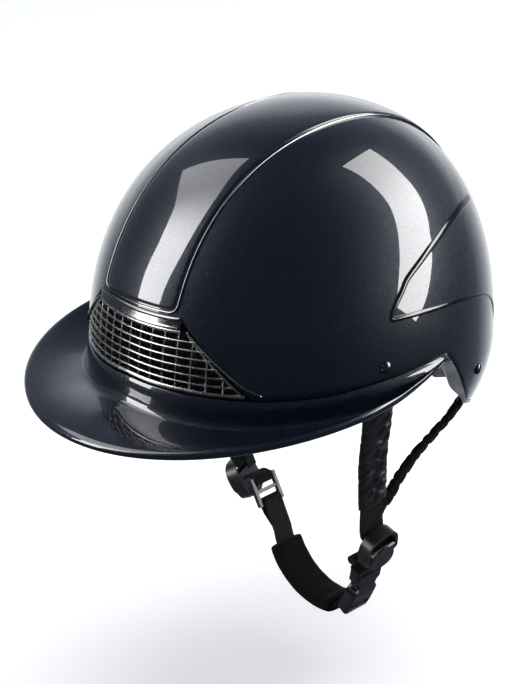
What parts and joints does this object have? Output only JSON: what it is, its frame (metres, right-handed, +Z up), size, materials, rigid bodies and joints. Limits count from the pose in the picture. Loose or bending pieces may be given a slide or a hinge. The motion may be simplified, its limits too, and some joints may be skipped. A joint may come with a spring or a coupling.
{
  "type": "equestrian riding helmet",
  "caption": "Riding helmet with a glossy painted dome, raised centre panel, vented front grille, wide brim, foam liner and a full chin harness with buckle and pad.",
  "frame": {"origin": "middle of the head at the level of the brim, where the mount head_seat is", "axes": "-Y towards the brim's front tip, +X towards the wearer's left, +Z up to the crown"},
  "size_m": [0.2444, 0.3201, 0.3372],
  "materials": {
    "painted_shell": "high-gloss navy paint with fine metallic flake",
    "chrome_trim": "bright",
    "gunmetal_trim": "dark chrome",
    "inlay_trim": "gloss black",
    "vent_fabric": "fine mesh",
    "foam": "moulded bead foam",
    "comfort_fabric": "brushed knit",
    "webbing": "ribbed weave",
    "sleeve_leather": "soft wrinkled grain",
    "pad_fabric": "soft brushed",
    "hardware_plastic": "satin moulded"
  },
  "bodies": {
    "helmet": {"outer_shell": "painted_shell", "centre_panel": "painted_shell", "panel_trim": "chrome_trim", "header_bar": "gunmetal_trim", "front_grille": "gunmetal_trim", "vent_mesh": "vent_fabric", "opening_trim": "chrome_trim", "brim": "painted_shell", "rear_vent": "gunmetal_trim", "side_trim_left": "inlay_trim", "side_trim_right": "inlay_trim", "rim_trim": "inlay_trim", "foam_liner": "foam", "headband_front": "comfort_fabric", "headband_rear": "comfort_fabric", "side_pad_left": "comfort_fabric", "side_pad_right": "comfort_fabric", "crown_pad": "comfort_fabric", "front_rivets": "gunmetal_trim", "rear_rivets": "gunmetal_trim", "rivet_washers": "gunmetal_trim", "front_strap_left": "webbing", "front_strap_right": "webbing", "front_sleeve_left": "sleeve_leather", "front_sleeve_right": "sleeve_leather", "rear_strap_left": "webbing", "rear_strap_right": "webbing", "rear_sleeve_left": "sleeve_leather", "rear_sleeve_right": "sleeve_leather", "divider_left": "hardware_plastic", "divider_right": "hardware_plastic", "buckle_strap": "webbing", "buckle_female": "hardware_plastic", "ladder_lock": "hardware_plastic", "lock_strap": "webbing"},
    "chin_strap": {"buckle_plug": "hardware_plastic", "chin_webbing": "webbing"},
    "pad": {"chin_pad": "pad_fabric"},
    "front_prong": {"prong_front": "hardware_plastic"},
    "rear_prong": {"prong_rear": "hardware_plastic"},
    "left_lever": {"cam_lever_left": "hardware_plastic"},
    "right_lever": {"cam_lever_right": "hardware_plastic"}
  },
  "joints": [
    {"name": "chin_strap_swing", "type": "hinge", "parent": "helmet", "child": "chin_strap", "pos_m": [-0.03, 0, -0.13], "axis": [0, 1, 0], "range_deg": [0, 50]},
    {"name": "pad_slide", "type": "hinge", "parent": "chin_strap", "child": "pad", "pos_m": [0.0238, 0, -0.1389], "axis": [0, 1, 0], "range_deg": [0, 8]},
    {"name": "front_prong_flex", "type": "hinge", "parent": "chin_strap", "child": "front_prong", "pos_m": [0.05131, -0.0048, -0.1662], "axis": [-0.9135, 0, 0.4067], "range_deg": [0, 6], "stiffness_Nm_per_rad": 0.02},
    {"name": "rear_prong_flex", "type": "hinge", "parent": "chin_strap", "child": "rear_prong", "pos_m": [0.05131, 0.0048, -0.1662], "axis": [0.9135, 0, -0.4067], "range_deg": [0, 6], "stiffness_Nm_per_rad": 0.02},
    {"name": "left_lever_flip", "type": "hinge", "parent": "helmet", "child": "left_lever", "pos_m": [0.07483, -0.0045, -0.12476], "axis": [-0.0384, -0.9903, -0.1338], "range_deg": [0, 80]},
    {"name": "right_lever_flip", "type": "hinge", "parent": "helmet", "child": "right_lever", "pos_m": [-0.05857, 0.0004, -0.12455], "axis": [-0.4226, 0.9063, 0], "range_deg": [0, 80]}
  ]
}
